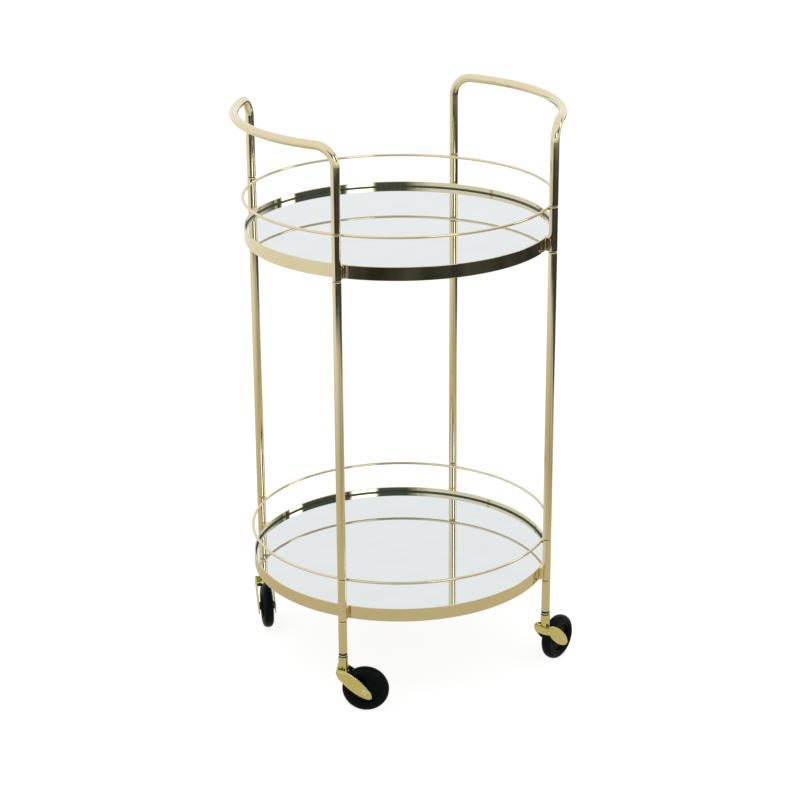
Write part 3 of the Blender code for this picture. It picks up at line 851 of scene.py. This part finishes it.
def make_dark_sweep():
    """The floor as the plated metal sees it: tan by the cart, pale further out, and dark on one side."""
    bm = bmesh.new()
    bmesh.ops.create_circle(bm, cap_ends=True, segments=96, radius=12.0)
    n = Finish("dark_sweep")
    right, away, _ = n.split(n.place)
    turn = camera_turn(n, right, away)
    reach = n.math("SQRT", n.math("ADD", n.product(right, right), n.product(away, away)))
    floor = n.blended(n.mapped(reach, 0.0, 1.0, 0.8, 1.7), (0.64, 0.58, 0.41), (0.92, 0.90, 0.84))
    tinted = n.add("ShaderNodeVectorMath", operation="MULTIPLY")
    n.link(floor, tinted.inputs[0])
    n.link(floor_streaks(n, turn, reach), tinted.inputs[1])
    patches = n.mapped(n.noise(0.9, 2.0), 0.0, 1.0, 0.35, 0.65)
    gloom = n.blended(patches, (0.026, 0.027, 0.024), (0.078, 0.080, 0.072))
    glow = n.add("ShaderNodeEmission")
    n.link(n.blended(dark_share(n, turn, reach), tinted.outputs["Vector"], gloom), glow.inputs["Color"])
    n.shine(glow.outputs["Emission"])
    card = mesh_object("studio_dark_sweep", bm, n.material)
    card.location = (0.0, 0.0, 0.0006)
    card.rotation_euler = (0.0, 0.0, CAMERA_TURN)
    only_in_reflections(card)


def aimed(item, turn, lift, distance):
    """Places an item round from the camera's side, at a lift above the level, and faces it to the cart."""
    target = Vector((0.0, 0.0, AIM_HEIGHT))
    flat = distance * cos(radians(lift))
    level = distance * sin(radians(lift))
    where = studio_point(flat * sin(radians(turn)), -flat * cos(radians(turn)), AIM_HEIGHT + level)
    item.location = where
    item.rotation_euler = (target - where).to_track_quat("-Z", "Y").to_euler()


def make_card(name, turn, width):
    """A glowing card with soft edges, which only polished surfaces see."""
    bm = bmesh.new()
    bmesh.ops.create_grid(bm, x_segments=1, y_segments=1, size=0.5)
    n = Finish(name)
    across, along, _ = n.split(n.place)
    sides = [n.mapped(n.math("ABSOLUTE", offset), 1.0, 0.0, 0.34, 0.5) for offset in (across, along)]
    fade = n.product(*sides)
    glow = n.add("ShaderNodeEmission")
    glow.inputs["Color"].default_value = (1.0, 0.99, 0.97, 1.0)
    n.link(n.product(fade, CARD_STRENGTH), glow.inputs["Strength"])
    clear = n.add("ShaderNodeBsdfTransparent")
    both = n.add("ShaderNodeMixShader")
    n.link(fade, both.inputs["Fac"])
    n.link(clear.outputs["BSDF"], both.inputs[1])
    n.link(glow.outputs["Emission"], both.inputs[2])
    n.shine(both.outputs["Shader"])
    card = mesh_object(name, bm, n.material)
    card.scale = (width, CARD_HEIGHT, 1.0)
    aimed(card, turn, CARD_LIFT, CARD_DISTANCE)
    only_in_reflections(card)


def make_light(name, turn, lift, power):
    """A large soft light, which polished surfaces don't mirror."""
    data = bpy.data.lights.new(name, "AREA")
    data.shape = "SQUARE"
    data.size = LIGHT_SIZE
    data.energy = power
    light = bpy.data.objects.new(name, data)
    aimed(light, turn, lift, LIGHT_DISTANCE)
    light.visible_camera = False
    light.visible_glossy = False
    bpy.context.collection.objects.link(light)


def dim_side(n):
    """How dim the room is in a direction: all of one side, from just above the level to halfway up."""
    rotated = n.add("ShaderNodeVectorRotate", rotation_type="Z_AXIS")
    rotated.inputs["Angle"].default_value = -CAMERA_TURN
    n.link(n.place, rotated.inputs["Vector"])
    right, away, up = n.split(rotated.outputs["Vector"])
    turn = camera_turn(n, right, away)
    past_left = n.mapped(turn, 0.0, 1.0, radians(-25.0), radians(-5.0))
    before_rear = n.mapped(turn, 1.0, 0.0, radians(110.0), radians(135.0))
    not_overhead = n.mapped(up, 1.0, 0.0, 0.42, 0.62)
    not_level = n.mapped(up, 0.0, 1.0, 0.10, 0.20)
    return n.product(n.product(past_left, before_rear), n.product(not_overhead, not_level))


def make_world():
    """White to the camera and for soft light, while polished surfaces see a dim room on one side."""
    world = bpy.data.worlds.new("studio")
    world.use_nodes = True
    world.node_tree.nodes.clear()
    n = Nodes(world.node_tree, "Generated")
    room = n.add("ShaderNodeBackground")
    n.link(n.blended(dim_side(n), (1.0, 1.0, 1.0), (0.10, 0.105, 0.10)), room.inputs["Color"])
    plain = n.add("ShaderNodeBackground")
    plain.inputs["Color"].default_value = (1.0, 1.0, 1.0, 1.0)
    plain.inputs["Strength"].default_value = 1.05
    rays = n.add("ShaderNodeLightPath")
    choice = n.add("ShaderNodeMixShader")
    n.link(rays.outputs["Is Glossy Ray"], choice.inputs["Fac"])
    n.link(plain.outputs["Background"], choice.inputs[1])
    n.link(room.outputs["Background"], choice.inputs[2])
    n.link(choice.outputs["Shader"], n.add("ShaderNodeOutputWorld").inputs["Surface"])
    bpy.context.scene.world = world


def make_studio():
    bpy.context.scene.view_settings.view_transform = "Standard"
    make_floor_plane()
    make_dark_sweep()
    make_world()
    make_card("softbox_front", 31.0, 1.55)
    make_card("softbox_right", 98.0, 1.03)
    make_light("light_left", -70.0, 55.0, 30.0)
    make_light("light_right", 60.0, 40.0, 25.0)


make_camera()
for tray in TRAYS:
    make_band(tray)
    make_mirror(tray)
    make_floor(tray)
    make_rail(tray)
for corner in CORNERS:
    for kind in ("lower_leg", "lower_post", "middle_leg", "upper_post"):
        make_tube(f"{kind}_{corner}", corner)
    make_caster(corner)
make_handle("left_handle_tube", "rear_left")
make_handle("right_handle_tube", "front_right")
make_studio()
